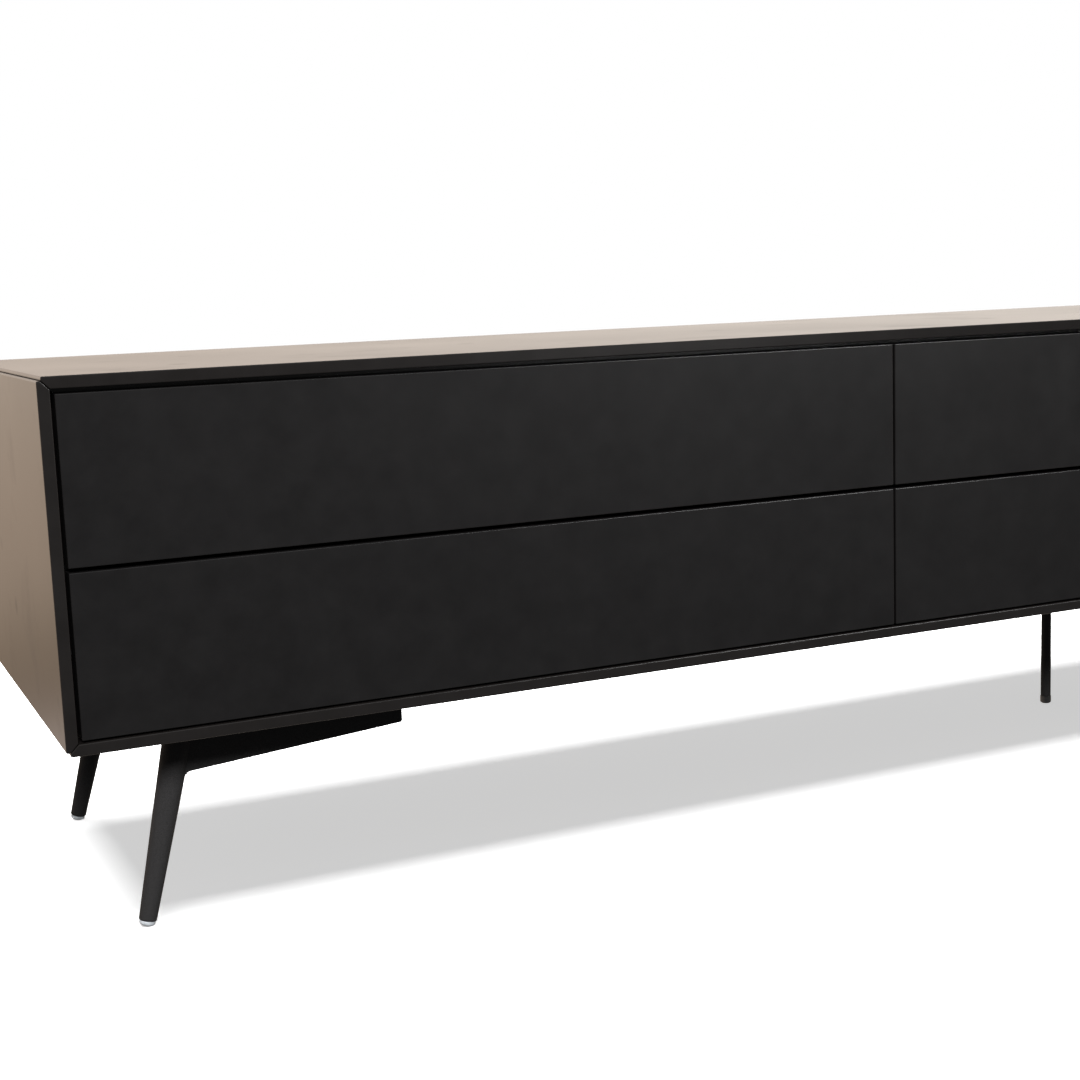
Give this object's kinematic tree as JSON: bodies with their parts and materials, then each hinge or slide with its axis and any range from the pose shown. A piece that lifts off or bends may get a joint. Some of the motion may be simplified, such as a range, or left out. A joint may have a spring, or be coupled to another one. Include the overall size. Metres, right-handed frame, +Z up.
{
  "type": "low sideboard with drawers",
  "caption": "Long low sideboard with a mitred black lacquered case, flat handle-less drawers in two rows, splayed steel legs with wedge arms and a thin centre support.",
  "frame": {"origin": "middle of the footprint, on the floor", "axes": "+X along the width to the viewer's right, -Y out of the drawer fronts, +Z up"},
  "size_m": [2.4, 0.46, 0.474],
  "materials": {
    "carcass_lacquer": "satin black lacquer on board",
    "front_lacquer": "satin black lacquer on board",
    "drawer_foil": "matt anthracite foil on board",
    "back_board": "matt black painted fibreboard",
    "runner_steel": "bright zinc plating",
    "powder_coat": "finely structured black powder coat",
    "glide_plastic": "translucent grey-white plastic",
    "tip_plastic": "black moulded plastic"
  },
  "bodies": {
    "cabinet": {"top_panel": "carcass_lacquer", "bottom_panel": "carcass_lacquer", "left_side_panel": "carcass_lacquer", "right_side_panel": "carcass_lacquer", "left_partition": "carcass_lacquer", "right_partition": "carcass_lacquer", "back_panel": "back_board", "upper_left_left_cabinet_rail": "runner_steel", "upper_left_right_cabinet_rail": "runner_steel", "upper_middle_left_cabinet_rail": "runner_steel", "upper_middle_right_cabinet_rail": "runner_steel", "upper_right_left_cabinet_rail": "runner_steel", "upper_right_right_cabinet_rail": "runner_steel", "lower_left_left_cabinet_rail": "runner_steel", "lower_left_right_cabinet_rail": "runner_steel", "lower_middle_left_cabinet_rail": "runner_steel", "lower_middle_right_cabinet_rail": "runner_steel", "lower_right_left_cabinet_rail": "runner_steel", "lower_right_right_cabinet_rail": "runner_steel", "front_left_leg": "powder_coat", "front_left_glide": "glide_plastic", "front_right_leg": "powder_coat", "front_right_glide": "glide_plastic", "back_left_leg": "powder_coat", "back_left_glide": "glide_plastic", "back_right_leg": "powder_coat", "back_right_glide": "glide_plastic", "centre_support_rod": "powder_coat", "centre_support_tip": "tip_plastic"},
    "upper_left_drawer": {"upper_left_drawer_front": "front_lacquer", "upper_left_drawer_box": "drawer_foil", "upper_left_drawer_base": "drawer_foil", "upper_left_left_drawer_rail": "runner_steel", "upper_left_right_drawer_rail": "runner_steel"},
    "upper_middle_drawer": {"upper_middle_drawer_front": "front_lacquer", "upper_middle_drawer_box": "drawer_foil", "upper_middle_drawer_base": "drawer_foil", "upper_middle_left_drawer_rail": "runner_steel", "upper_middle_right_drawer_rail": "runner_steel"},
    "upper_right_drawer": {"upper_right_drawer_front": "front_lacquer", "upper_right_drawer_box": "drawer_foil", "upper_right_drawer_base": "drawer_foil", "upper_right_left_drawer_rail": "runner_steel", "upper_right_right_drawer_rail": "runner_steel"},
    "lower_left_drawer": {"lower_left_drawer_front": "front_lacquer", "lower_left_drawer_box": "drawer_foil", "lower_left_drawer_base": "drawer_foil", "lower_left_left_drawer_rail": "runner_steel", "lower_left_right_drawer_rail": "runner_steel"},
    "lower_middle_drawer": {"lower_middle_drawer_front": "front_lacquer", "lower_middle_drawer_box": "drawer_foil", "lower_middle_drawer_base": "drawer_foil", "lower_middle_left_drawer_rail": "runner_steel", "lower_middle_right_drawer_rail": "runner_steel"},
    "lower_right_drawer": {"lower_right_drawer_front": "front_lacquer", "lower_right_drawer_box": "drawer_foil", "lower_right_drawer_base": "drawer_foil", "lower_right_left_drawer_rail": "runner_steel", "lower_right_right_drawer_rail": "runner_steel"}
  },
  "joints": [
    {"name": "upper_left_drawer_slide", "type": "slide", "parent": "cabinet", "child": "upper_left_drawer", "axis": [0, -1, 0], "range_m": [-0.0025, 0.3]},
    {"name": "upper_middle_drawer_slide", "type": "slide", "parent": "cabinet", "child": "upper_middle_drawer", "axis": [0, -1, 0], "range_m": [-0.0025, 0.3]},
    {"name": "upper_right_drawer_slide", "type": "slide", "parent": "cabinet", "child": "upper_right_drawer", "axis": [0, -1, 0], "range_m": [-0.0025, 0.3]},
    {"name": "lower_left_drawer_slide", "type": "slide", "parent": "cabinet", "child": "lower_left_drawer", "axis": [0, -1, 0], "range_m": [-0.0025, 0.3]},
    {"name": "lower_middle_drawer_slide", "type": "slide", "parent": "cabinet", "child": "lower_middle_drawer", "axis": [0, -1, 0], "range_m": [-0.0025, 0.3]},
    {"name": "lower_right_drawer_slide", "type": "slide", "parent": "cabinet", "child": "lower_right_drawer", "axis": [0, -1, 0], "range_m": [-0.0025, 0.3]}
  ]
}
